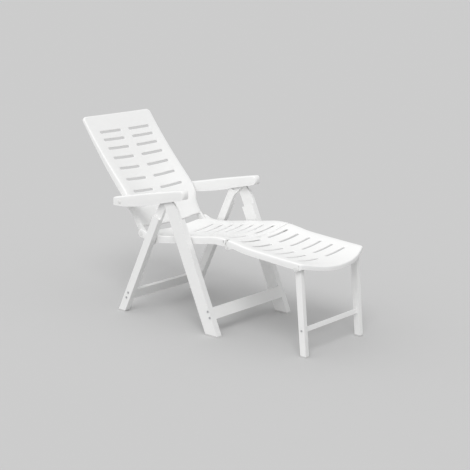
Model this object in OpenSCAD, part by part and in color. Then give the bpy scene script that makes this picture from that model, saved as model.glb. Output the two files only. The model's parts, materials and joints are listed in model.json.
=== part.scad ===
// Multi-position resin sun lounger: a reclining armchair on folding legs, with a hinged footrest.
// +X points towards the footrest, +Y to the sitter's left, +Z up. Z = 0 is the floor and
// X = 0 is half way along the lounger. Lengths are in millimetres, angles in degrees.

/* [Legs] */
// Distance from the middle plane to the outer faces of the legs
leg_outer_y = 286; // [286:0.5:287]
// Thickness of a leg across the chair
leg_t = 33; // [32:0.5:33]
// Width of a front leg
front_leg_w = 74; // [66:1:78]
// Where the front leg's centre line meets the floor
front_foot_x = 197; // [190:1:204]
// Lean of the front leg from the vertical
front_lean = 24.1; // [23.5:0.1:24.5]
// Width of a rear leg
rear_leg_w = 44; // [38:1:48]
// Where the rear leg's centre line meets the floor
rear_foot_x = -453; // [-460:1:-448]
// Lean of the rear leg from the vertical
rear_lean = 26.4; // [26:0.1:26.8]
// Height of the boards that tie the legs
crossbar_h = 60; // [50:1:66]
// Thickness of the boards that tie the legs
crossbar_t = 16; // [12:1:20]

/* [Panels] */
// Distance from the middle plane to the outer faces of seat, backrest and footrest
panel_outer_y = 244; // [243:0.5:245]
// Width of the hollow rim along each side
rim_w = 16; // [15:0.5:17]
// Depth of the side rims
rim_d = 36; // [34:1:38]
// Wall thickness of the mouldings
wall = 4; // [3:0.5:4.5]
// How far the middle of a panel dips below its rims
dish = 26; // [16:1:30]
// Height of a slot
slot_h = 14; // [10:1:18]
// Distance from the middle plane to the inner end of a slot
slot_in = 28; // [22:1:36]
// Distance from the middle plane to the outer end of a slot
slot_out = 180; // [170:1:186]

/* [Armrests] */
// Distance from the middle plane to the inner face of an armrest
arm_inner_y = 247; // [246.5:0.5:247.5]
// Width of an armrest
arm_w = 46; // [46:1:48]
// Number of notches in an armrest
notches = 5; // [3:1:5]
// Turn of the backrest from one notch to the next
notch_step = 7; // [6:0.5:7]

/* [Pins] */
// Radius of the pins that join legs, seat, backrest and armrests
pin_r = 6; // [5:0.5:6.5]
// Radius of the bush around an armrest pin
bush_r = 10; // [9.5:0.5:10.5]
// Running gap between a pin and its bore, on the radius
play = 0.06; // [0.03:0.01:0.09]

/* [Hidden] */
$fn = 64;

// Hinge axes, as [x, z]: legs, seat on the front legs, seat rest on the rear legs, backrest on
// the seat, armrest on the backrest, footrest on the seat, footrest leg on the footrest
apex = [-112, 646];
seat_axis = [-3, 448];
rest_axis = [-258, 390.4];
hip_axis = [-338, 430];
arm_axis = [-443, 590];
foot_axis = [262, 457];
prop_axis = [690, 425];

white = [0.95, 0.95, 0.94];
pad_h = 6;
rest_r = 8;
lap = 122;
gap = 1;
leg_inner_y = leg_outer_y - leg_t;
arm_outer_y = arm_inner_y + arm_w;
cavity_in = arm_inner_y + wall;
cavity_out = arm_outer_y - wall;
head_t = 11;
head_mid_y = (cavity_in + cavity_out) / 2;
lug_t = 13;
rim_in = panel_outer_y - rim_w;
reach = 2000;
weld = 0.5;
dish_strips = 8;

// ---------- helpers ----------

// Extrudes an outline drawn in X and Z from y0 to y1
module plate(y0, y1) {
    rotate([90, 0, 0]) translate([0, 0, -y1]) linear_extrude(y1 - y0) children();
}

// A cylinder along Y through the point p = [x, z], from y0 to y1
module rod(p, r, y0, y1) {
    translate([p[0], y0, p[1]]) rotate([-90, 0, 0]) cylinder(r = r, h = y1 - y0);
}

// Places a part made for the left side (+Y) on the side s = 1 or -1
module on_side(s) {
    mirror([0, s < 0 ? 1 : 0, 0]) children();
}

// Makes a part on both sides
module both() {
    for (s = [1, -1]) on_side(s) children();
}

// Moves an outline drawn along a leg, foot at the origin, to its place; lean > 0 leans rearwards
module along_leg(foot_x, lean) {
    translate([foot_x, 0]) rotate(lean) children();
}

// The place of a point [x, z] in the coordinates of a leg
function in_leg(p, foot_x, lean) = [
    (p[0] - foot_x) * cos(lean) + p[1] * sin(lean),
    -(p[0] - foot_x) * sin(lean) + p[1] * cos(lean)
];

front_apex = in_leg(apex, front_foot_x, front_lean);
rear_apex = in_leg(apex, rear_foot_x, -rear_lean);

// ---------- legs ----------

// Radius of a leg's head around the apex pin, and the heights around that pin where the leg
// starts to widen, where the lapped halves begin and where the head is cut off
front_head_r = 28;
rear_head_r = 26;
neck = 70;
leg_below = 60;
shoulder = 46;
crown = 40;

// Outline of a leg between its pad and the hinge at its head
module leg_outline(foot_x, lean, w, head, head_r, top) {
    difference() {
        along_leg(foot_x, lean) intersection() {
            union() {
                polygon([[-w / 2, -leg_below], [w / 2, -leg_below], [w / 2, head[1] - neck],
                    [head[0] + head_r, head[1]], [head[0] - head_r, head[1]], [-w / 2, head[1] - neck]]);
                translate(head) circle(head_r);
            }
            translate([-reach / 2, -leg_below]) square([reach, top + leg_below]);
        }
        translate([foot_x - reach / 2, pad_h - reach]) square([reach, reach]);
    }
}

// A leg's outline up to the height top above the apex pin
module front_outline(top) {
    leg_outline(front_foot_x, front_lean, front_leg_w, front_apex, front_head_r, front_apex[1] + top);
}

module rear_outline(top) {
    leg_outline(rear_foot_x, -rear_lean, rear_leg_w, rear_apex, rear_head_r, rear_apex[1] + top);
}

module front_leg(s) {
    color(white) on_side(s) difference() {
        union() {
            plate(leg_inner_y, leg_outer_y)
                front_outline(-lap);
            plate(head_mid_y + gap / 2, leg_outer_y)
                front_outline(-shoulder);
            plate(head_mid_y + gap / 2, head_mid_y + gap / 2 + head_t)
                front_outline(crown);
        }
        rod(apex, pin_r, 0, reach);
        rod(seat_axis, pin_r, leg_inner_y - 1, leg_outer_y - 8);
        for (z = [-1, 1]) rod(front_screw(z), 3, leg_inner_y - 1, leg_outer_y + 1);
    }
}

module rear_leg(s) {
    color(white) on_side(s) difference() {
        union() {
            plate(leg_inner_y, leg_outer_y)
                rear_outline(-lap);
            plate(leg_inner_y, head_mid_y - gap / 2)
                rear_outline(-shoulder);
            plate(head_mid_y - gap / 2 - head_t, head_mid_y - gap / 2)
                rear_outline(crown);
        }
        rod(apex, pin_r + play, 0, reach);
        rod(rest_axis, pin_r, leg_inner_y - 1, leg_outer_y - 8);
        for (z = [-1, 1]) rod(rear_screw(z), 3, leg_inner_y - 1, leg_outer_y + 1);
    }
}

// A board between the legs, flush with one edge of them
module crossbar(foot_x, lean, height, edge) {
    color(white) plate(-leg_inner_y, leg_inner_y) along_leg(foot_x, lean)
        translate([edge, height - crossbar_h / 2]) square([crossbar_t, crossbar_h]);
}

// Centres of the two screws at each end of a board
front_board = [front_leg_w / 2 - crossbar_t, 105];
rear_board = [-crossbar_t / 2, 105];
function front_screw(z) = let (u = front_board[0] + crossbar_t / 2, v = front_board[1] + z * 16)
    [front_foot_x + u * cos(front_lean) - v * sin(front_lean), u * sin(front_lean) + v * cos(front_lean)];
function rear_screw(z) = let (u = rear_board[0] + crossbar_t / 2, v = rear_board[1] + z * 16)
    [rear_foot_x + u * cos(rear_lean) + v * sin(rear_lean), -u * sin(rear_lean) + v * cos(rear_lean)];

module front_crossbar() {
    difference() {
        crossbar(front_foot_x, front_lean, front_board[1], front_board[0]);
        both() for (z = [-1, 1]) rod(front_screw(z), 2.5, leg_inner_y - 30, leg_inner_y + 1);
    }
}

module rear_crossbar() {
    difference() {
        crossbar(rear_foot_x, -rear_lean, rear_board[1], rear_board[0]);
        both() for (z = [-1, 1]) rod(rear_screw(z), 2.5, leg_inner_y - 30, leg_inner_y + 1);
    }
}

// A screw with a low round head, from inside the board to the leg's outer face
module screw(p) {
    color("silver") {
        rod(p, 2.5, leg_inner_y - 30, leg_inner_y);
        rod(p, 3, leg_inner_y, leg_outer_y);
        rod(p, 6, leg_outer_y, leg_outer_y + 2.5);
    }
}

module front_crossbar_screws() {
    both() for (z = [-1, 1]) screw(front_screw(z));
}

module rear_crossbar_screws() {
    both() for (z = [-1, 1]) screw(rear_screw(z));
}

// A pad under a foot, as wide as the leg is along the floor
module foot_pad(x, lean, w, y0, y1) {
    half = w / 2 / cos(lean);
    shift = pad_h * tan(lean);
    color(white) plate(y0, y1)
        polygon([[x - half, 0], [x + half, 0], [x + half - shift, pad_h], [x - half - shift, pad_h]]);
}

module front_foot_pads() {
    both() foot_pad(front_foot_x, front_lean, front_leg_w, leg_inner_y, leg_outer_y);
}

module rear_foot_pads() {
    both() foot_pad(rear_foot_x, -rear_lean, rear_leg_w, leg_inner_y, leg_outer_y);
}

module apex_pins() {
    color(white) both() rod(apex, pin_r, cavity_in + 0.8, cavity_out - 0.8);
}

// The pin that carries the seat, with a collar that keeps the seat off the leg
module seat_pivot_pins() {
    color(white) both() {
        rod(seat_axis, pin_r, rim_in - 6, leg_outer_y - 8);
        rod(seat_axis, pin_r + 6, panel_outer_y + 0.3, leg_inner_y);
    }
}

// The peg on a rear leg that the seat's rim rests on
module seat_rest_pegs() {
    color(white) both() {
        rod(rest_axis, pin_r, leg_inner_y - 1, leg_outer_y - 8);
        rod(rest_axis, rest_r, rim_in - 2, leg_inner_y);
    }
}

// ---------- panels ----------

// A band under the dished surface, from depth top to depth bottom below it
module dished_band(half_w, top, bottom) {
    line = [for (i = [-dish_strips / 2:dish_strips / 2]) let (k = 2 * i / dish_strips)
        [half_w * k, -dish * (1 - k * k)]];
    polygon(concat([for (p = line) p - [0, top]],
        [for (i = [len(line) - 1:-1:0]) line[i] - [0, bottom]]));
}

// Cross-section of a panel in Y and Z: hollow rims along both sides and a dished skin between
module panel_section(outer_y, depth) {
    inner = outer_y - rim_w;
    dished_band(inner, 0, wall);
    for (s = [1, -1]) mirror([s < 0 ? 1 : 0, 0]) difference() {
        translate([inner, -depth]) square([rim_w, depth]);
        translate([inner + wall, -depth - 1]) square([rim_w - 2 * wall, depth + 1 - wall]);
    }
}

// A straight length of panel whose rim runs from point a to point b, drawn with the sitter's
// side up, and carried on past each end by over
module panel_run(a, b, outer_y, depth, over) {
    run = norm(b - a);
    on_run(a, b) translate([-over[0], 0, 0]) rotate([90, 0, 90])
        linear_extrude(run + over[0] + over[1]) panel_section(outer_y, depth);
}

// Keeps what lies between the mitre planes at the two ends of a run, and a little past each
module between(a, cut_a, b, cut_b, past) {
    intersection() {
        children();
        translate([a[0], 0, a[1]]) rotate([0, -cut_a, 0]) translate([-past[0], -reach / 2, -reach / 2])
            cube([reach, reach, reach]);
        translate([b[0], 0, b[1]]) rotate([0, -cut_b, 0]) translate([past[1] - reach, -reach / 2, -reach / 2])
            cube([reach, reach, reach]);
    }
}

// A panel along the points of path, with mitred corners; the sitter's side is on the left hand
module panel(path, outer_y, depth) {
    n = len(path);
    angles = [for (i = [0:n - 2]) atan2(path[i + 1][1] - path[i][1], path[i + 1][0] - path[i][0])];
    for (i = [0:n - 2]) {
        open = [i == 0 ? 0 : 1, i == n - 2 ? 0 : 1];
        cut_a = i == 0 ? angles[0] : (angles[i - 1] + angles[i]) / 2;
        cut_b = i == n - 2 ? angles[i] : (angles[i] + angles[i + 1]) / 2;
        between(path[i], cut_a, path[i + 1], cut_b, weld * open)
            panel_run(path[i], path[i + 1], outer_y, depth, 30 * open);
    }
}

// A pair of round-ended slots through a run, at distance d from its start a towards b
module slot_pair(a, b, d) {
    on_run(a, b) translate([d, 0, -dish - 3 * wall])
        for (s = [1, -1]) {
            translate([-slot_h / 2, s > 0 ? slot_in + slot_h / 2 : -slot_out + slot_h / 2, 0])
                cube([slot_h, slot_out - slot_in - slot_h, dish + 6 * wall]);
            for (y = [slot_in + slot_h / 2, slot_out - slot_h / 2])
                translate([0, s * y, 0]) cylinder(d = slot_h, h = dish + 6 * wall);
        }
}

// Seat: upturned rear, slope up to the knees, level crest
seat_path = [[-322, 444], [-240, 434], [165, 494], [252, 495]];
seat_pitch = 72;

module seat_panel() {
    color(white) difference() {
        union() {
            panel(seat_path, panel_outer_y, rim_d);
            end_wall([seat_path[2], seat_path[3]], panel_outer_y);
            both() {
                rod(seat_axis, 15, rim_in, panel_outer_y);
                // cheeks that reach back to the hip pins
                plate(rim_in, panel_outer_y) {
                    translate(hip_axis) circle(22);
                    polygon([hip_axis + [-7, 21], hip_axis + [-3, -21.5], [-285, 402], [-285, 439]]);
                }
                // lugs that the footrest hangs on
                plate(lug_in, lug_out) {
                    translate(foot_axis) circle(13);
                    polygon([foot_axis + [-3, -12.6], foot_axis + [6, 11.5], [240, 484], [200, 484],
                        [200, 462]]);
                }
                plate(lug_in, rim_in + 1) polygon([[200, 466], [236, 466], [236, 486], [200, 486]]);
            }
        }
        both() {
            rod(seat_axis, pin_r + play, rim_in - 1, panel_outer_y + 1);
            rod(hip_axis, pin_r + play, rim_in - 1, panel_outer_y + 1);
            rod(hip_axis, 42, lug_in - 2, rim_in);
            rod(foot_axis, pin_r, 0, panel_outer_y + 1);
            rod(foot_axis, 17, rim_in - 0.5, panel_outer_y + 1);
        }
        for (i = [0:5]) slot_pair(seat_path[1], seat_path[2], 6 + i * seat_pitch);
        slot_pair(seat_path[2], seat_path[3], 30);
    }
}

// Lugs that stand just inside a rim
lug_out = rim_in - 2;
lug_in = lug_out - lug_t;

// A wall across the far end of the run [a, b], under its dished surface
module end_wall(run, outer_y) {
    on_run(run[1], 2 * run[1] - run[0]) translate([-wall, 0, 0]) rotate([90, 0, 90])
        linear_extrude(wall - weld) dished_band(outer_y - rim_w + 1, 1, wall + 5);
}

// The footrest's hinge pins, with a round head outside the rim
module footrest_hinge_pins() {
    color(white) both() {
        rod(foot_axis, pin_r, lug_in - 2, panel_outer_y + 0.5);
        rod(foot_axis, pin_r + 3, panel_outer_y + 0.5, panel_outer_y + 3);
    }
}

module hip_pins() {
    color(white) both() {
        rod(hip_axis, pin_r, lug_in - 2, panel_outer_y + 0.4);
        rod(hip_axis, pin_r + 4, panel_outer_y + 0.4, panel_outer_y + 2.6);
    }
}

// Backrest, from its top edge down: shoulders, lumbar bulge and hips, then a narrow stretch
// between the seat's cheeks
back_path = [[-770, 997], [-600, 790], [-430, 616], [-402, 561]];
back_low = [[-402, 560], [-350, 462]];
back_low_y = lug_out;
top_rim = 14;
back_corner_r = 24;

// Distance of backrest slot i from the top edge: they lie further apart towards the seat
function back_slot(i) = 106 + 45.5 * i + 3 * i * i;

module backrest_panel() {
    top_run = norm(back_path[1] - back_path[0]);
    color(white) difference() {
        union() {
            panel(back_low, back_low_y, rim_d);
            panel(back_path, panel_outer_y, rim_d);
            end_wall(back_low, back_low_y);
            on_run(back_path[0], back_path[1]) translate([0, -panel_outer_y, -rim_d / 2])
                cube([top_rim, 2 * panel_outer_y, rim_d / 2]);
            both() {
                // shoulders where the panel narrows
                on_run(back_low[0], back_low[1]) translate([-wall, back_low_y - rim_w, -rim_d])
                    cube([wall + weld, panel_outer_y - back_low_y + rim_w, rim_d]);
                rod(arm_axis, 20, rim_in + weld, panel_outer_y + 1);
                plate(lug_in, lug_out) {
                    translate(hip_axis) circle(16);
                    polygon([hip_axis + [-15, -5], hip_axis + [15, 5], back_low[1] + [0, 2],
                        back_low[1] + [-20, 20], back_low[1] + [-31, -13]]);
                }
            }
        }
        // the dish runs out behind the top edge
        on_run(back_path[0], back_path[1]) translate([-1, -reach / 2, -3 * rim_d])
            cube([top_rim + 1, reach, 2.5 * rim_d]);
        both() {
            rod(arm_axis, bush_r + play, rim_in - 1, panel_outer_y + 2);
            rod(hip_axis, pin_r + play, lug_in - 1, lug_out + 1);
            // the rims thin out towards the top
            plate(rim_in, panel_outer_y + 1)
                polygon([[-458, 589], [-619, 772], [-784, 987], [-900, 900], [-700, 500]]);
            on_run(back_path[0], back_path[1]) translate([0, panel_outer_y, -2 * rim_d]) difference() {
                translate([-1, -back_corner_r, 0]) cube([back_corner_r + 1, back_corner_r + 1, 3 * rim_d]);
                translate([back_corner_r, -back_corner_r, 0]) cylinder(r = back_corner_r, h = 3 * rim_d);
            }
        }
        for (i = [0:3]) slot_pair(back_path[0], back_path[1], back_slot(i));
        for (i = [4:6]) slot_pair(back_path[1], back_path[2], back_slot(i) - top_run);
        slot_pair(back_path[2], back_path[3], 40);
    }
}

// Places children on the run from a to b: x along it, z towards the sitter
module on_run(a, b) {
    translate([a[0], 0, a[1]]) rotate([0, -atan2(b[1] - a[1], b[0] - a[0]), 0]) children();
}

// ---------- armrests ----------

// Bushes that turn in the backrest's rims, with a flange inside
module arm_bushes() {
    color(white) both() difference() {
        union() {
            rod(arm_axis, bush_r, rim_in - 0.5, panel_outer_y + 1);
            rod(arm_axis, bush_r + 3, rim_in - 3, rim_in - 0.5);
        }
        rod(arm_axis, pin_r + play, rim_in - 4, panel_outer_y + 2);
    }
}

module arm_pins() {
    color(white) both() {
        rod(arm_axis, pin_r, rim_in - 3.3, cavity_out - 0.5);
        rod(arm_axis, pin_r + 4, rim_in - 6, rim_in - 3.3);
    }
}

// Side outline of an armrest: level end at the backrest, deeper belly, upturned front
module arm_outline() {
    polygon([[-490, 609.5], [-478, 611.5], [-250, 659], [-2, 706], [18, 690], [14, 672], [-20, 660],
        [-160, 622], [-200, 607], [-245, 592], [-350, 574], [-485, 566], [-501, 578], [-501, 598]]);
    translate([2, 690]) circle(16);
    translate([-486, 594]) circle(15.5);
}

// Where the apex pin sits in the armrest when the backrest stands in notch i; the armrest
// stays level while its pivot swings about the hip
function notch_at(i) = let (t = i * notch_step, v = arm_axis - hip_axis)
    apex + v - [v[0] * cos(t) + v[1] * sin(t), v[1] * cos(t) - v[0] * sin(t)];

// A toothed rib inside an armrest wall. Its notches lie just above the apex pin's way, so that
// the pin runs clear under the teeth as the backrest moves
tooth_rise = pin_r + 1.5;
notch_rise = 5;
module rack(y0, y1) {
    first = notch_at(0);
    last = notch_at(notches - 1);
    plate(y0, y1) difference() {
        polygon(concat([first + [14, 34], first + [14, tooth_rise]],
            [for (i = [0:notches - 1]) notch_at(i) + [0, tooth_rise]],
            [last + [-14, tooth_rise], last + [-14, 50]]));
        for (i = [0:notches - 1]) translate(notch_at(i) + [0, notch_rise]) {
            circle(pin_r + 0.2);
            translate([-pin_r - 0.2, -30]) square([2 * pin_r + 0.4, 30]);
        }
    }
}

module armrest(s) {
    color(white) on_side(s) difference() {
        union() {
            difference() {
                plate(arm_inner_y, arm_outer_y) arm_outline();
                plate(cavity_in, cavity_out)
                    polygon([[-496, 500], [-496, 602], [-478, 607], [-250, 655], [-4, 701.5], [8, 690],
                        [8, 600]]);
            }
            intersection() {
                union() {
                    rack(cavity_in - 1, cavity_in + 6);
                    rack(cavity_out - 6, cavity_out + 1);
                    rod(arm_axis, pin_r + 6, cavity_in - 1, cavity_out + 1);
                }
                plate(arm_inner_y, arm_outer_y) arm_outline();
            }
        }
        rod(arm_axis, pin_r + play, arm_inner_y - 1, cavity_out);
        rod(arm_axis, 3, cavity_out - 1, arm_outer_y + 1);
    }
}

// A domed cap over the end of the armrest pivot
module arm_cap(s) {
    color(white) on_side(s) {
        rod(arm_axis, 3, cavity_out + 0.1, arm_outer_y);
        translate([arm_axis[0], arm_outer_y, arm_axis[1]]) rotate([-90, 0, 0])
            rotate_extrude() intersection() {
                translate([0, -20]) circle(23, $fn = 90);
                square([11.3, 3]);
            }
    }
}

// ---------- footrest ----------

foot_path = [[258, 494], [400, 472], [800, 445]];
bow_r = 490;
bow_x = 784.3 - bow_r;
lip_h = 20;

module footrest_panel() {
    color(white) difference() {
        union() {
            intersection() {
                union() {
                    panel(foot_path, panel_outer_y, rim_d);
                    both() rod(prop_axis, 14, rim_in + weld, panel_outer_y);
                    both() plate(rim_in + weld, panel_outer_y - weld) {
                        translate(foot_axis) circle(14);
                        polygon([foot_axis + [-4, 13], foot_axis + [3, -13.7], [300, 453], [300, 485],
                            [262, 491]]);
                    }
                    on_run(foot_path[0], foot_path[1]) translate([wall, 0, 0])
                        end_wall([[-1, 0], [0, 0]], panel_outer_y);
                }
                translate([bow_x, 0, 0]) cylinder(r = bow_r, h = 600, $fn = 360);
            }
            // curved lip along the front edge
            intersection() {
                panel_lip();
                translate([bow_x, 0, 0]) difference() {
                    cylinder(r = bow_r - weld, h = 600, $fn = 360);
                    translate([0, 0, -1]) cylinder(r = bow_r - wall, h = 602, $fn = 360);
                }
            }
        }
        both() {
            rod(foot_axis, pin_r + play, rim_in - 1, panel_outer_y + 1);
            rod(prop_axis, pin_r + play, rim_in - 1, panel_outer_y + 1);
            rod(foot_axis, 16, lug_in - 1, rim_in - 0.2);
            translate([foot_path[0][0] - 10, lug_in - 1, 440])
                cube([wall + 13, rim_in - lug_in + 0.8, 44]);
        }
        for (d = [27, 103]) slot_pair(foot_path[0], foot_path[1], d);
        for (i = [0:3]) slot_pair(foot_path[1], foot_path[2], 33 + i * seat_pitch);
    }
}

// The band under the dished surface from which the front lip is cut
module panel_lip() {
    on_run(foot_path[1], foot_path[2]) translate([250, 0, 0]) rotate([90, 0, 90])
        linear_extrude(180) dished_band(panel_outer_y - 2, 1, lip_h);
}

// Footrest legs: slim, foot ahead of the hinge
prop_w = 34;
prop_t = 23;
prop_foot_x = 729;
prop_out = lug_out;
prop_in = prop_out - prop_t;
prop_lean = atan2(prop_foot_x - prop_axis[0], prop_axis[1]);
prop_len = norm([prop_foot_x - prop_axis[0], prop_axis[1]]);
prop_bar_v = 128;
prop_bar_h = 22;
prop_bar_t = 9;
function prop_screw(z) = let (v = prop_bar_v + z * 5)
    [prop_foot_x - v * sin(prop_lean), v * cos(prop_lean)];

module prop_leg(s) {
    color(white) on_side(s) difference() {
        plate(prop_in, prop_out) difference() {
            along_leg(prop_foot_x, prop_lean) {
                translate([-prop_w / 2, -30]) square([prop_w, prop_len + 30]);
                translate([0, prop_len]) circle(prop_w / 2);
            }
            translate([prop_foot_x - reach / 2, pad_h - reach]) square([reach, reach]);
        }
        rod(prop_axis, pin_r, prop_in - 1, prop_out + 1);
        rod(prop_screw(0), 2.5, prop_in - 1, prop_out + 1);
    }
}

module footrest_leg_crossbar() {
    color(white) difference() {
        plate(-prop_in, prop_in) along_leg(prop_foot_x, prop_lean)
            translate([-prop_bar_t / 2, prop_bar_v - prop_bar_h / 2]) square([prop_bar_t, prop_bar_h]);
        both() rod(prop_screw(0), 2, prop_in - 22, prop_in + 1);
    }
}

module footrest_leg_screws() {
    color("silver") both() {
        rod(prop_screw(0), 2, prop_in - 22, prop_in);
        rod(prop_screw(0), 2.5, prop_in, prop_out);
        rod(prop_screw(0), 5, prop_out, prop_out + 2);
    }
}

module footrest_leg_pins() {
    color(white) both() {
        rod(prop_axis, pin_r, prop_in, panel_outer_y + 0.5);
        rod(prop_axis, pin_r + 3, panel_outer_y + 0.5, panel_outer_y + 3);
    }
}

module footrest_foot_pads() {
    both() foot_pad(prop_foot_x, prop_lean, prop_w, prop_in, prop_out);
}

front_leg(1);  // front_leg_left
front_leg(-1);  // front_leg_right
front_crossbar();
front_crossbar_screws();
apex_pins();
seat_pivot_pins();
front_foot_pads();
rear_leg(1);  // rear_leg_left
rear_leg(-1);  // rear_leg_right
rear_crossbar();
rear_crossbar_screws();
seat_rest_pegs();
rear_foot_pads();
seat_panel();
footrest_hinge_pins();
hip_pins();
backrest_panel();
arm_bushes();
arm_pins();
armrest(1);  // armrest_left
armrest(-1);  // armrest_right
arm_cap(1);  // arm_cap_left
arm_cap(-1);  // arm_cap_right
footrest_panel();
prop_leg(1);  // footrest_leg_left
prop_leg(-1);  // footrest_leg_right
footrest_leg_crossbar();
footrest_leg_screws();
footrest_leg_pins();
footrest_foot_pads();
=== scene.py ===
import json
import math

import bpy
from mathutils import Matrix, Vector
from mathutils.geometry import convex_hull_2d


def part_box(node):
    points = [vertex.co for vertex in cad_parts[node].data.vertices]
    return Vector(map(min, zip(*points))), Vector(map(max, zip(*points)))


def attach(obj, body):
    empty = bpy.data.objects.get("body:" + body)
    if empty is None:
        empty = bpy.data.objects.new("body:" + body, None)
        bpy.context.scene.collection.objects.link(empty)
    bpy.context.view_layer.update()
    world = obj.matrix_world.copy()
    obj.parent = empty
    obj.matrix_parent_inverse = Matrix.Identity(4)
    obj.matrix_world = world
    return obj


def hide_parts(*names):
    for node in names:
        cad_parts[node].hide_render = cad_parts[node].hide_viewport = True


# Looks of the folding resin sun lounger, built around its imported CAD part. Metres; +X points to
# the footrest, +Y to the sitter's left. A place along the lounger is a Vector (x, z).

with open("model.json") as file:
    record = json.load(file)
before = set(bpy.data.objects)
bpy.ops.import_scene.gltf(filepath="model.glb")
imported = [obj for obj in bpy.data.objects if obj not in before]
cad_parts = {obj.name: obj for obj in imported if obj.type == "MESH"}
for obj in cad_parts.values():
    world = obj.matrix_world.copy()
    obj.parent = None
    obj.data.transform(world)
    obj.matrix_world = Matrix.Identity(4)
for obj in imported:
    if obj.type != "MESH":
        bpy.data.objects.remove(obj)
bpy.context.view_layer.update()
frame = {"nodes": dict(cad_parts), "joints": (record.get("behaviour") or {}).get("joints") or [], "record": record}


# ---------- places, from the frame ----------

def pivot(joint_name):
    """The hinge axis of a joint, as (x, z)."""
    joint = next(j for j in frame["joints"] if j["name"] == joint_name)
    return Vector((joint["pos_m"][0], joint["pos_m"][2]))


def half_width(node):
    """Distance from the middle plane to the outermost face of a node."""
    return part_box(node)[1].y


HIP = pivot("recline")
KNEE = pivot("footrest_tilt")
ELBOW = pivot("arm_lift_left")
PROP = pivot("footrest_leg_fold")
BACK_LOW, BACK_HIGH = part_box("backrest_panel")
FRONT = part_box("footrest_panel")[1].x

# The panels: outer and inner half width, wall, rim, dish, hanging edge, and the roll of their sides.
PANEL_OUT = half_width("seat_panel")
WALL = 0.0035
RIM = 0.016
PANEL_IN = PANEL_OUT - RIM
DISH = 0.026
FLANGE = 0.036
SIDE_ROLL = 0.007

# The slots: near and far ends across the panel, end radius, pitch, rolled lip and its depth.
SLOT_IN = 0.028
SLOT_OUT = 0.180
SLOT_R = 0.007
SLOT_PITCH = 0.072
LIP_ROLL = 0.0022
LIP_DEPTH = 0.0042

# The ribs under a panel: across it, along it, and their thickness.
CROSS_RIB = 0.014
LONG_RIB = 0.018
RIB_WIDTH = 0.003

# How far an inner plate stays off a panel's outer face, and a lug's width and gap to the rim.
SKIN_GAP = 0.0004
LUG_WIDTH = 0.013
LUG_GAP = 0.002

# Edges sharper than this stay sharp or are bevelled, in degrees.
BEVEL_FROM = 35


# ---------- small maths ----------

def clamp(t):
    return max(0.0, min(1.0, t))


def ease(t):
    t = clamp(t)
    return t * t * (3 - 2 * t)


def mix(a, b, t):
    return a + (b - a) * t


class Curve:
    """A smooth curve through points (x, z), measured by distance along it."""

    def __init__(self, points, steps=24):
        points = [Vector(p) for p in points]
        self.points = []
        for i in range(len(points) - 1):
            a, b = points[max(i - 1, 0)], points[i]
            c, d = points[i + 1], points[min(i + 2, len(points) - 1)]
            for k in range(steps):
                t = k / steps
                self.points.append((2 * b + (c - a) * t + (2 * a - 5 * b + 4 * c - d) * t * t
                                    + (3 * b - 3 * c + d - a) * t ** 3) / 2)
        self.points.append(points[-1])
        self.marks = [0.0]
        for a, b in zip(self.points, self.points[1:]):
            self.marks.append(self.marks[-1] + (b - a).length)
        self.length = self.marks[-1]

    def at(self, s):
        """The point at distance s, carried straight on past the ends."""
        i = 0
        while i < len(self.marks) - 2 and s > self.marks[i + 1]:
            i += 1
        a, b = self.points[i], self.points[i + 1]
        return a + (b - a) * ((s - self.marks[i]) / (self.marks[i + 1] - self.marks[i]))

    def side(self, s, reach=0.012):
        """The direction to the left hand at distance s, smoothed over a short reach."""
        run = (self.at(s + reach) - self.at(s - reach)).normalized()
        return Vector((-run.y, run.x))

    def place(self, s, y, n):
        """The point at distance s along the curve, y across it and n to its left hand."""
        p = self.at(s) + self.side(s) * n
        return (p.x, y, p.y)


# ---------- mesh helpers ----------

def mesh_object(name, verts, faces, weld=0.00002):
    """An object from points and faces, with points that coincide joined."""
    mesh = bpy.data.meshes.new(name)
    mesh.from_pydata([tuple(v) for v in verts], [], faces)
    obj = bpy.data.objects.new(name, mesh)
    bpy.context.scene.collection.objects.link(obj)
    if weld:
        modifier = obj.modifiers.new("weld", "WELD")
        modifier.merge_threshold = weld
    return obj


def settle(obj, angle=40):
    """Applies an object's modifiers and shades it smooth, with edges over angle degrees kept sharp."""
    depsgraph = bpy.context.evaluated_depsgraph_get()
    mesh = bpy.data.meshes.new_from_object(obj.evaluated_get(depsgraph))
    obj.modifiers.clear()
    old, obj.data = obj.data, mesh
    bpy.data.meshes.remove(old)
    mesh.name = obj.name
    mesh.polygons.foreach_set("use_smooth", [True] * len(mesh.polygons))
    mesh.set_sharp_from_angle(angle=math.radians(angle))
    return obj


def thicken(obj, thickness):
    """Gives a sheet its wall, on the side away from its normals."""
    modifier = obj.modifiers.new("wall", "SOLIDIFY")
    modifier.thickness = thickness
    modifier.offset = -1
    modifier.use_even_offset = False
    modifier.thickness_clamp = 1.0
    return obj


def join(objs, name):
    """Joins several objects into one mesh."""
    verts, faces = [], []
    for obj in objs:
        start = len(verts)
        verts += [v.co.copy() for v in obj.data.vertices]
        faces += [tuple(start + i for i in p.vertices) for p in obj.data.polygons]
        bpy.data.objects.remove(obj)
    return settle(mesh_object(name, verts, faces, weld=0))


def ring_faces(rings, closed=True):
    """Quads between neighbouring rings of the same number of point numbers."""
    faces = []
    for low, high in zip(rings, rings[1:]):
        count = len(low)
        for k in range(count if closed else count - 1):
            j = (k + 1) % count
            quad = [low[k], low[j], high[j], high[k]]
            faces.append(tuple(dict.fromkeys(quad)))
    return [f for f in faces if len(f) > 2]


# ---------- panels ----------

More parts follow.
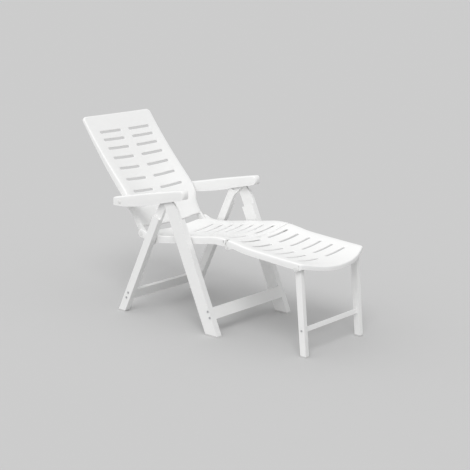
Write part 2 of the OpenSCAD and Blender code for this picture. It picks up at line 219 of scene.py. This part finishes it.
class Panel:
    """A dished, slotted moulding along a curve. s runs along it, y across it and n towards the
    sitter; y is given as on a panel of full width, and narrow(s) is taken off each side."""

    def __init__(self, curve, dish, flange, narrow=lambda s: 0.0):
        self.curve = curve
        self.dish = dish
        self.flange = flange
        self.narrow = narrow
        self.verts = []
        self.faces = []

    def height(self, s, y):
        """How far the skin lies from the rims' plane."""
        u = min(abs(y) / PANEL_IN, 1.0)
        return -self.dish(s) * (1 - u ** 2.4) ** 1.25

    def point(self, s, y, n):
        """Adds a point, n above the skin's own height, and returns its number."""
        off = self.narrow(s)
        if abs(y) <= PANEL_IN:
            across = y * (PANEL_IN - off) / PANEL_IN
        else:
            across = y - math.copysign(off, y)
        self.verts.append(self.curve.place(s, across, self.height(s, y) + n))
        return len(self.verts) - 1

    def slotted_cell(self, s0, s1, y0, y1, middle, y_in, y_out, nx=14, ns=8):
        """A rectangle of skin around a round-ended slot whose edge is rolled under."""
        def loop(a, b, c, d, round_r):
            points = []
            for k in range(nx):
                points.append((a, mix(c, d, k / nx)))
            for k in range(ns):
                angle = math.pi * k / ns
                points.append((middle - round_r * math.cos(angle), d + round_r * math.sin(angle))
                              if round_r else (mix(a, b, k / ns), d))
            for k in range(nx):
                points.append((b, mix(d, c, k / nx)))
            for k in range(ns):
                angle = math.pi * k / ns
                points.append((middle + round_r * math.cos(angle), c - round_r * math.sin(angle))
                              if round_r else (mix(b, a, k / ns), c))
            return points

        def slot_loop(radius):
            return loop(middle - radius, middle + radius, y_in + SLOT_R, y_out - SLOT_R, radius)

        border = loop(s0, s1, y0, y1, 0)
        wide = slot_loop(SLOT_R + LIP_ROLL)
        levels = [[(p, 0.0) for p in border]]
        for t in (0.4, 0.75):
            between = [(mix(p[0], q[0], t), mix(p[1], q[1], t)) for p, q in zip(border, wide)]
            levels.append([(p, 0.0) for p in between])
        levels.append([(p, 0.0) for p in wide])
        for angle in (30, 60, 90):
            a = math.radians(angle)
            ring = slot_loop(SLOT_R + LIP_ROLL * (1 - math.sin(a)))
            levels.append([(p, -LIP_ROLL * (1 - math.cos(a))) for p in ring])
        levels.append([(p, -LIP_DEPTH) for p in slot_loop(SLOT_R)])
        rings = [[self.point(p[0], p[1], n) for p, n in level[::-1]] for level in levels]
        self.faces += ring_faces(rings)

    def plain_band(self, low, high, y_marks, rows):
        """Skin without slots between the edges low(y) and high(y)."""
        lines = []
        for i in range(rows + 1):
            lines.append([self.point(mix(low(y), high(y), i / rows), y, 0) for y in y_marks])
        self.faces += ring_faces([line[::-1] for line in lines], closed=False)

    def edge(self, inside, outline, normals, end_rolls):
        """The rim round the skin: a level top, a rounded edge and a flange that hangs down."""
        half = self.curve.length / 2
        rolls = [mix(end_rolls[0] if o[0] < half else end_rolls[1], SIDE_ROLL, m[1] ** 2)
                 for o, m in zip(outline, normals)]
        rings = [[self.point(s, y, 0) for s, y in inside]]
        for t in (0.3, 0.62):
            rings.append([self.point(mix(i[0], o[0] - m[0] * r, t),
                                     mix(i[1], o[1] - m[1] * r, t), 0)
                          for i, o, m, r in zip(inside, outline, normals, rolls)])
        for angle in (0, 18, 36, 54, 72, 90):
            a = math.radians(angle)
            back, drop = 1 - math.sin(a), 1 - math.cos(a)
            rings.append([self.point(o[0] - m[0] * r * back, o[1] - m[1] * r * back, -r * drop)
                          for o, m, r in zip(outline, normals, rolls)])
        for t in (0.5, 1.0):
            rings.append([self.point(o[0], o[1], -mix(r, self.flange(o[0], abs(m[1])), t))
                          for o, m, r in zip(outline, normals, rolls)])
        self.faces += ring_faces(rings)

    def bar(self, path, depth, top=0.001):
        """A closed rib under the skin along a path of (s, y)."""
        rings = []
        for i, (s, y) in enumerate(path):
            a, b = path[max(i - 1, 0)], path[min(i + 1, len(path) - 1)]
            run = Vector((b[0] - a[0], b[1] - a[1])).normalized() * RIB_WIDTH / 2
            left, right = (s - run.y, y + run.x), (s + run.y, y - run.x)
            rings.append([self.point(*left, -top), self.point(*right, -top),
                          self.point(*right, -depth), self.point(*left, -depth)])
        faces = ring_faces(rings)
        faces += [tuple(rings[0][::-1]), tuple(rings[-1])]
        return faces


def outward(outline, reach=0.002):
    """The outward direction at each point of a closed outline, taken over at least that reach."""
    count = len(outline)
    normals = []
    for k in range(count):
        a, b = k, k
        while (Vector(outline[a]) - Vector(outline[k])).length < reach:
            a = (a - 1) % count
        while (Vector(outline[b]) - Vector(outline[k])).length < reach:
            b = (b + 1) % count
        run = (Vector(outline[b]) - Vector(outline[a])).normalized()
        normals.append((-run.y, run.x))
    return normals


def panel_mesh(name, curve, dish, flange, slots, ends, corners, rolls, narrow=lambda s: 0.0):
    """A whole panel. slots are distances along the curve, ends gives its two edges as functions of
    y, and corners and rolls the corner radius and the rounding of the edge at each end."""
    panel = Panel(curve, dish, flange, narrow)
    columns, rows, row_length, turn = 14, 8, 0.009, 8
    y_half = [PANEL_IN * k / columns for k in range(columns + 1)]
    y_marks = [-y for y in y_half[:0:-1]] + y_half
    marks = [slots[0] - (slots[1] - slots[0]) / 2]
    marks += [(a + b) / 2 for a, b in zip(slots, slots[1:])]
    marks.append(slots[-1] + (slots[-1] - slots[-2]) / 2)

    def start(y):
        return ends[0](y) + RIM

    def stop(y):
        return ends[1](y) - RIM

    first_rows = max(2, round((marks[0] - start(0)) / row_length))
    last_rows = max(2, round((stop(0) - marks[-1]) / row_length))

    panel.plain_band(start, lambda y: marks[0], y_marks, first_rows)
    for middle, s0, s1 in zip(slots, marks, marks[1:]):
        panel.slotted_cell(s0, s1, 0, PANEL_IN, middle, SLOT_IN, SLOT_OUT)
        panel.slotted_cell(s0, s1, -PANEL_IN, 0, middle, -SLOT_OUT, -SLOT_IN)
    panel.plain_band(lambda y: marks[-1], stop, y_marks, last_rows)

    side = [mix(start(PANEL_IN), marks[0], i / first_rows) for i in range(first_rows)]
    for s0, s1 in zip(marks, marks[1:]):
        side += [mix(s0, s1, i / rows) for i in range(rows)]
    side += [mix(marks[-1], stop(PANEL_IN), i / last_rows) for i in range(last_rows + 1)]

    def corner(end, y_sign, backwards):
        """Points round one corner, which all start from the same inner point, and how far out along
        the end its round begins."""
        direction = (-1, 1)[end]
        radius = corners[end]
        begin = PANEL_OUT - radius
        for _ in range(4):
            slope = (ends[end](begin + 0.001) - ends[end](begin - 0.001)) / 0.002
            tilt = math.atan(-direction * slope)
            begin = PANEL_OUT - radius + radius * math.sin(tilt)
        centre = (ends[end](begin) - direction * radius * math.cos(tilt), PANEL_OUT - radius)
        arc = []
        for k in range(1, turn + 1):
            a = mix(tilt, math.pi / 2, k / turn)
            arc.append((centre[0] + direction * radius * math.cos(a),
                        y_sign * (centre[1] + radius * math.sin(a))))
        if backwards:
            arc.reverse()
        edge = (start, stop)[end](PANEL_IN)
        return begin, ([(edge, y_sign * PANEL_IN)] * len(arc), arc)

    reach = [corner(end, 1, False)[0] / PANEL_IN for end in (0, 1)]
    inside = [(start(y), y) for y in y_marks]
    outline = [(ends[0](y * reach[0]), y * reach[0]) for y in y_marks]

    def add(points):
        inside.extend(points[0])
        outline.extend(points[1])

    add(corner(0, 1, False)[1])
    add(([(s, PANEL_IN) for s in side[1:-1]], [(s, PANEL_OUT) for s in side[1:-1]]))
    add(corner(1, 1, True)[1])
    add(([(stop(y), y) for y in y_marks[::-1]],
         [(ends[1](y * reach[1]), y * reach[1]) for y in y_marks[::-1]]))
    add(corner(1, -1, False)[1])
    add(([(s, -PANEL_IN) for s in side[-2:0:-1]], [(s, -PANEL_OUT) for s in side[-2:0:-1]]))
    add(corner(0, -1, True)[1])

    panel.edge(inside, outline, outward(outline), rolls)
    sheet = mesh_object(name, panel.verts, panel.faces)
    thicken(sheet, WALL)
    settle(sheet)

    ribs = Panel(curve, dish, flange, narrow)
    faces = []
    for s in marks:
        faces += ribs.bar([(s, y) for y in y_marks], CROSS_RIB)
    side_rib, steps = PANEL_IN - 0.002, 60
    for y in (-side_rib, 0, side_rib):
        length = [mix(start(y), stop(y), i / steps) for i in range(steps + 1)]
        faces += ribs.bar([(s, y) for s in length], LONG_RIB)
    rib_mesh = mesh_object(name + "_ribs", ribs.verts, faces, weld=0)
    return join([sheet, settle(rib_mesh)], name)


# ---------- plates and softened nodes ----------

def lobe(centre, radius, points, steps=32):
    """The convex outline round a circle and some points, as (x, z)."""
    turns = [2 * math.pi * k / steps for k in range(steps)]
    ring = [centre + Vector((math.cos(a), math.sin(a))) * radius for a in turns]
    cloud = ring + [Vector(p) for p in points]
    return [cloud[i] for i in convex_hull_2d(cloud)]


def plate(name, outline, y0, y1, bevel=0.0015):
    """A flat piece with softened edges: an outline in x and z from y0 to y1."""
    count = len(outline)
    verts = [(p[0], y0, p[1]) for p in outline] + [(p[0], y1, p[1]) for p in outline]
    faces = [tuple(range(count)), tuple(range(2 * count - 1, count - 1, -1))]
    faces += [(k, count + k, count + (k + 1) % count, (k + 1) % count) for k in range(count)]
    obj = mesh_object(name, verts, faces)
    modifier = obj.modifiers.new("edges", "BEVEL")
    modifier.width = bevel
    modifier.segments = 3
    modifier.limit_method = "ANGLE"
    modifier.angle_limit = math.radians(BEVEL_FROM)
    return settle(obj)


def span(side, y0, y1):
    """y0 and y1 on that side, lowest first."""
    return sorted((side * y0, side * y1))


def cheek_span(side, gap=0.0):
    """Across a panel's rim on that side, from its inner face plus a gap."""
    return span(side, PANEL_IN + gap, PANEL_OUT - SKIN_GAP)


def lug_span(side):
    """Across a hinge lug just inside a panel's rim on that side."""
    return span(side, PANEL_IN - LUG_GAP - LUG_WIDTH, PANEL_IN - LUG_GAP)


def finish_piece(obj, body, slot, nodes):
    """Gives a piece the material of its slot and its body, and hides the CAD nodes that it stands for."""
    obj.data.materials.clear()
    obj.data.materials.append(MATERIALS[slot])
    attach(obj, body)
    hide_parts(*nodes)


def soften(node, width, segments=3):
    """Rounds the edges of a CAD node that stays in view."""
    obj = frame["nodes"][node]
    weld = obj.modifiers.new("weld", "WELD")
    weld.merge_threshold = 0.00001
    flat = obj.modifiers.new("flat", "DECIMATE")
    flat.decimate_type = "DISSOLVE"
    flat.angle_limit = math.radians(1)
    bevel = obj.modifiers.new("edges", "BEVEL")
    bevel.width = width
    bevel.segments = segments
    bevel.limit_method = "ANGLE"
    bevel.angle_limit = math.radians(BEVEL_FROM)
    bevel.harden_normals = True


# ---------- the mouldings ----------

def seat():
    """The seat, from the hip to the knee, with its hinge cheeks and lugs. Its rear edge steps
    forward at the sides, around the backrest's lugs."""
    lug_room = 0.016
    from_hip = [HIP + Vector(p) for p in ((0.004, 0.0155), (0.086, 0.005), (0.196, 0.0165),
                                          (0.290, 0.0315), (0.400, 0.047))]
    to_knee = [KNEE + Vector(p) for p in ((-0.090, 0.0370), (-0.010, 0.0375))]
    curve = Curve(from_hip + to_knee)
    last = curve.length
    slots = [last - 0.046 - SLOT_PITCH * i for i in range(6, -1, -1)]

    def rear_edge(y):
        return lug_room * ease((abs(y) - PANEL_OUT + 0.075) / 0.035)

    panel = panel_mesh("seat_shell", curve, lambda s: DISH * (0.75 + 0.25 * ease(s / 0.15)),
                       lambda s, side: mix(0.016, FLANGE, side ** 2), slots,
                       (rear_edge, lambda y: last), (0.014, 0.006), (0.006, 0.003))
    cheek = lobe(HIP, 0.022, [HIP + Vector((0.053, -0.028)), HIP + Vector((0.053, 0.004))])
    lug = lobe(KNEE, 0.013, [KNEE + Vector(p) for p in ((-0.022, 0.026), (-0.062, 0.026), (-0.062, 0.005))])
    pieces = [panel]
    for side in (1, -1):
        pieces.append(plate("cheek", cheek, *cheek_span(side), 0.003))
        pieces.append(plate("lug", lug, *lug_span(side), 0.002))
    return join(pieces, "seat_shell")


def backrest():
    """The backrest, from its top to the hip, narrowed at the bottom to pass between the seat's
    cheeks, with its hinge lugs."""
    top = Vector((BACK_LOW.x + 0.0145, BACK_HIGH.z))
    by_elbow = [ELBOW + Vector(p) for p in ((-0.246, 0.304), (-0.160, 0.205), (-0.080, 0.120),
                                            (0.000, 0.036), (0.041, -0.028), (0.066, -0.078))]
    curve = Curve([top] + by_elbow + [HIP + Vector((-0.0095, 0.0275))])
    last = curve.length
    lug_room = 0.006
    slots = [0.106 + 0.0455 * i + 0.003 * i * i for i in range(8)]

    def flange(s, side):
        deep = mix(0.016, FLANGE, ease(s / (0.7 * last)))
        return mix(0.015, deep, side ** 2)

    def lower_edge(y):
        return last - lug_room * ease((abs(y) - PANEL_OUT + 0.110) / 0.045)

    panel = panel_mesh("backrest_shell", curve, lambda s: 0.002 + (DISH - 0.004) * ease(s / 0.52),
                       flange, slots, (lambda y: 0.0, lower_edge), (0.024, 0.012), (0.007, 0.005),
                       narrow=lambda s: 0.0185 * ease((s / last - 0.80) / 0.09))
    lug = lobe(HIP, 0.016, [HIP + Vector(p) for p in ((-0.012, 0.034), (-0.032, 0.052), (-0.043, 0.019))])
    pieces = [panel]
    for side in (1, -1):
        pieces.append(plate("lug", lug, *lug_span(side), 0.002))
    return join(pieces, "backrest_shell")


def footrest():
    """The footrest, from the knee to its bowed front edge, with its hinge cheeks and leg bosses."""
    bow = 0.490
    front_height = 0.446
    from_knee = [KNEE + Vector(p) for p in ((-0.004, 0.037), (0.062, 0.0270), (0.138, 0.0155),
                                            (0.338, 0.0015))]
    curve = Curve(from_knee + [PROP + Vector((0.010, 0.0275)), (FRONT, front_height)])
    last = curve.length

    def bowed(y):
        return last - bow + math.sqrt(bow * bow - min(abs(y), PANEL_OUT) ** 2)

    slots = [0.040 + SLOT_PITCH * i for i in range(6)]
    panel = panel_mesh("footrest_shell", curve, lambda s: DISH,
                       lambda s, side: mix(0.022, FLANGE - 0.004, side ** 2), slots,
                       (lambda y: 0.0, bowed), (0.006, 0.019), (0.003, 0.007))
    cheek = lobe(KNEE, 0.014, [KNEE + Vector(p) for p in ((0.038, -0.004), (0.038, 0.026), (0.002, 0.033))])
    boss = lobe(PROP, 0.014, [])
    pieces = [panel]
    for side in (1, -1):
        pieces.append(plate("cheek", cheek, *cheek_span(side, 0.0005), 0.002))
        pieces.append(plate("boss", boss, *cheek_span(side, 0.001), 0.001))
    return join(pieces, "footrest_shell")


def armrest(side):
    """A hollow armrest, open underneath, from rings of points in planes across X. Each ring has its
    outer points first and then those of the hollow, which closes up at the ends."""
    low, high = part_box("armrest_left")
    skin_gap = 0.0002
    middle, half = (low.y + high.y) / 2, (high.y - low.y) / 2 - skin_gap
    top = Curve([ELBOW + Vector(p) for p in ((-0.058, 0.0175), (-0.035, 0.0215), (0.080, 0.0455),
                                             (0.193, 0.0690), (0.330, 0.0955), (0.425, 0.1130),
                                             (0.461, 0.1160))])
    belly = Curve([ELBOW + Vector(p) for p in ((-0.058, -0.023), (0.020, -0.0205), (0.093, -0.012),
                                               (0.170, 0.002), (0.243, 0.0185), (0.330, 0.0405),
                                               (0.423, 0.0625), (0.461, 0.0715))])

    def level(curve, x):
        """The height of a curve at x."""
        for a, b in zip(curve.points, curve.points[1:]):
            if b.x >= x:
                return a.y + (b.y - a.y) * (x - a.x) / (b.x - a.x)
        return curve.points[-1].y

    rear, nose = low.x, high.x
    rear_r, nose_r = 0.016, 0.022
    plan_r, corner_r = 0.016, 0.008
    wall, crown = 0.004, 0.0004
    solid_rear, solid_nose, run_out = 0.006, 0.014, 0.008

    stations = [(rear + rear_r * (1 - math.cos(math.radians(a))), math.sin(math.radians(a)))
                for a in range(14, 90, 8)]
    straight = 36
    x0, x1 = rear + rear_r, nose - nose_r
    stations += [(mix(x0, x1, k / straight), 1.0) for k in range(straight + 1)]
    stations += [(nose - nose_r * (1 - math.cos(math.radians(a))), math.sin(math.radians(a)))
                 for a in range(86, 13, -8)]
    rings, verts = [], []
    for x, swell in stations:
        up, down = level(top, x), level(belly, x)
        centre = mix(down, up, 0.5)
        up, down = mix(centre, up, swell), mix(centre, down, swell)
        depth = min(x - rear, nose - x)
        pull = 0
        if depth < plan_r:
            pull = plan_r - math.sqrt(max(plan_r ** 2 - (plan_r - depth) ** 2, 0))
        wide = half - pull
        r = min(corner_r, (up - down) * 0.45)
        outer = [(-wide, down), (-wide, mix(down, up - r, 0.5))]
        for a in range(0, 91, 15):
            t = math.radians(a)
            outer.append((-wide + r * (1 - math.cos(t)), up - r + r * math.sin(t)))
        outer += [(-wide * 0.35, up + crown)]
        outer += [(-y, z) for y, z in outer[::-1]]
        open_up = ease(min(x - rear - solid_rear, nose - solid_nose - x) / run_out)
        roof = mix(down, max(up - wall, down), open_up)
        hollow = wide - wall
        inner = [(hollow, down), (hollow, mix(down, roof, 0.9)), (hollow * 0.9, roof),
                 (-hollow * 0.9, roof), (-hollow, mix(down, roof, 0.9)), (-hollow, down)]
        rings.append([len(verts) + k for k in range(len(outer) + len(inner))])
        verts += [(x, middle + y, z) for y, z in outer + inner]
    faces = ring_faces([r[::-1] for r in rings])
    faces += [tuple(rings[0]), tuple(rings[-1][::-1])]
    if side < 0:
        verts = [(x, -y, z) for x, y, z in verts]
        faces = [f[::-1] for f in faces]
    name = "armrest_shell_" + ("left" if side > 0 else "right")
    return settle(mesh_object(name, verts, faces), 50)


# ---------- materials ----------

def node_material(name, colour, other, rough, grain=0.00006, metallic=0.0):
    """A moulded surface: two close tones, uneven gloss, shallow waves and a fine grain."""
    tone_scale, gloss_scale, wave_scale, grain_scale = 5.0, 38.0, 16.0, 1400.0
    wave_height = 0.0012
    material = bpy.data.materials.new(name)
    material.use_nodes = True
    nodes, links = material.node_tree.nodes, material.node_tree.links
    shader = nodes["Principled BSDF"]
    place = nodes.new("ShaderNodeTexCoord")

    def noise(scale, detail, roughness=0.5):
        made = nodes.new("ShaderNodeTexNoise")
        made.inputs["Scale"].default_value = scale
        made.inputs["Detail"].default_value = detail
        made.inputs["Roughness"].default_value = roughness
        links.new(place.outputs["Object"], made.inputs["Vector"])
        return made

    tone = nodes.new("ShaderNodeMix")
    tone.data_type = "RGBA"
    tone.inputs["A"].default_value = (*colour, 1)
    tone.inputs["B"].default_value = (*other, 1)
    links.new(noise(tone_scale, 4).outputs["Fac"], tone.inputs["Factor"])
    links.new(tone.outputs["Result"], shader.inputs["Base Color"])
    gloss = nodes.new("ShaderNodeMapRange")
    gloss.inputs["From Min"].default_value = 0.3
    gloss.inputs["From Max"].default_value = 0.7
    gloss.inputs["To Min"].default_value = rough[0]
    gloss.inputs["To Max"].default_value = rough[1]
    links.new(noise(gloss_scale, 6).outputs["Fac"], gloss.inputs["Value"])
    links.new(gloss.outputs["Result"], shader.inputs["Roughness"])
    fine = nodes.new("ShaderNodeBump")
    fine.inputs["Strength"].default_value = 0.35
    fine.inputs["Distance"].default_value = grain
    links.new(noise(grain_scale, 3).outputs["Fac"], fine.inputs["Height"])
    wave = nodes.new("ShaderNodeBump")
    wave.inputs["Strength"].default_value = 0.25
    wave.inputs["Distance"].default_value = wave_height
    links.new(noise(wave_scale, 2).outputs["Fac"], wave.inputs["Height"])
    links.new(wave.outputs["Normal"], fine.inputs["Normal"])
    links.new(fine.outputs["Normal"], shader.inputs["Normal"])
    shader.inputs["Metallic"].default_value = metallic
    return material


MATERIALS = {
    "panel_plastic": node_material("panel_plastic", (0.88, 0.88, 0.875), (0.83, 0.832, 0.828),
                                   (0.34, 0.46)),
    "frame_plastic": node_material("frame_plastic", (0.87, 0.87, 0.865), (0.82, 0.822, 0.818),
                                   (0.36, 0.50)),
    "pin_plastic": node_material("pin_plastic", (0.80, 0.80, 0.79), (0.74, 0.74, 0.735),
                                 (0.30, 0.42), grain=0.00003),
    "foot_pad": node_material("foot_pad", (0.66, 0.66, 0.65), (0.56, 0.56, 0.555),
                              (0.60, 0.78), grain=0.0001),
    "screw_steel": node_material("screw_steel", (0.62, 0.62, 0.63), (0.50, 0.50, 0.52),
                                 (0.25, 0.42), grain=0.00003, metallic=1.0),
}


def paint_nodes():
    """Gives each CAD node the material of its slot in the record."""
    for part in frame["record"]["subparts"]:
        obj = frame["nodes"][part["node"]]
        obj.data.materials.clear()
        obj.data.materials.append(MATERIALS[part["material_slot"]])


# ---------- camera, floor and light ----------

def make_camera():
    """The photo's point of view, ahead of the lounger and to the sitter's right."""
    azimuth, elevation, distance = math.radians(41.94), math.radians(13.56), 5.947
    target = Vector((0.097, 0, 0.448))
    back = Vector((math.sin(azimuth) * math.cos(elevation), -math.cos(azimuth) * math.cos(elevation),
                   math.sin(elevation)))
    camera = bpy.data.objects.new("camera", bpy.data.cameras.new("camera"))
    camera.data.lens = 89.6
    camera.data.sensor_width = 36
    camera.data.clip_end = 300
    camera.location = target + back * distance
    camera.rotation_euler = (-back).to_track_quat("-Z", "Y").to_euler()
    bpy.context.scene.collection.objects.link(camera)
    bpy.context.scene.camera = camera


def make_floor():
    """A wide, plain, pale floor."""
    floor = bpy.data.objects.new("floor", bpy.data.meshes.new("floor"))
    edge, gap = 150, 0.0005
    corners = [(-edge, -edge, 0), (edge, -edge, 0), (edge, edge, 0), (-edge, edge, 0)]
    floor.data.from_pydata(corners, [], [(0, 1, 2, 3)])
    floor.location.z = -gap
    material = bpy.data.materials.new("floor")
    material.use_nodes = True
    shader = material.node_tree.nodes["Principled BSDF"]
    grey = 0.535
    shader.inputs["Base Color"].default_value = (grey, grey, grey, 1)
    shader.inputs["Roughness"].default_value = 1.0
    shader.inputs["Specular IOR Level"].default_value = 0.0
    floor.data.materials.append(material)
    bpy.context.scene.collection.objects.link(floor)


def make_light():
    """A sky that is brightest above and to the sitter's right, and a broad soft key from above, the
    right and in front."""
    world = bpy.data.worlds.new("studio")
    bpy.context.scene.world = world
    world.use_nodes = True
    nodes, links = world.node_tree.nodes, world.node_tree.links
    background = nodes["Background"]
    place = nodes.new("ShaderNodeTexCoord")
    lean = nodes.new("ShaderNodeVectorMath")
    lean.operation = "DOT_PRODUCT"
    lean.inputs[1].default_value = (-0.22, -0.42, 0.82)
    links.new(place.outputs["Generated"], lean.inputs[0])
    ramp = nodes.new("ShaderNodeMapRange")
    ramp.inputs["From Min"].default_value = -0.6
    ramp.inputs["From Max"].default_value = 0.9
    ramp.inputs["To Min"].default_value = 0.22
    ramp.inputs["To Max"].default_value = 1.05
    links.new(lean.outputs["Value"], ramp.inputs["Value"])
    links.new(ramp.outputs["Result"], background.inputs["Strength"])
    background.inputs["Color"].default_value = (1, 1, 1, 1)

    sun = bpy.data.objects.new("key", bpy.data.lights.new("key", "SUN"))
    sun.data.energy = 1.15
    sun.data.angle = math.radians(28)
    towards = Vector((0.36, -0.48, 0.70))
    sun.rotation_euler = towards.to_track_quat("Z", "Y").to_euler()
    bpy.context.scene.collection.objects.link(sun)
    bpy.context.scene.view_settings.view_transform = "Standard"


# ---------- build ----------

make_camera()
make_floor()
make_light()
paint_nodes()
finish_piece(seat(), "seat", "panel_plastic", ["seat_panel"])
finish_piece(backrest(), "backrest", "panel_plastic", ["backrest_panel"])
finish_piece(footrest(), "footrest", "panel_plastic", ["footrest_panel"])
for side, name in ((1, "left"), (-1, "right")):
    finish_piece(armrest(side), "arm_" + name, "frame_plastic", ["armrest_" + name])
for node in ("front_leg_left", "front_leg_right", "rear_leg_left", "rear_leg_right"):
    soften(node, 0.003)
for node in ("front_crossbar", "rear_crossbar", "footrest_leg_left", "footrest_leg_right"):
    soften(node, 0.002)
soften("footrest_leg_crossbar", 0.0015)
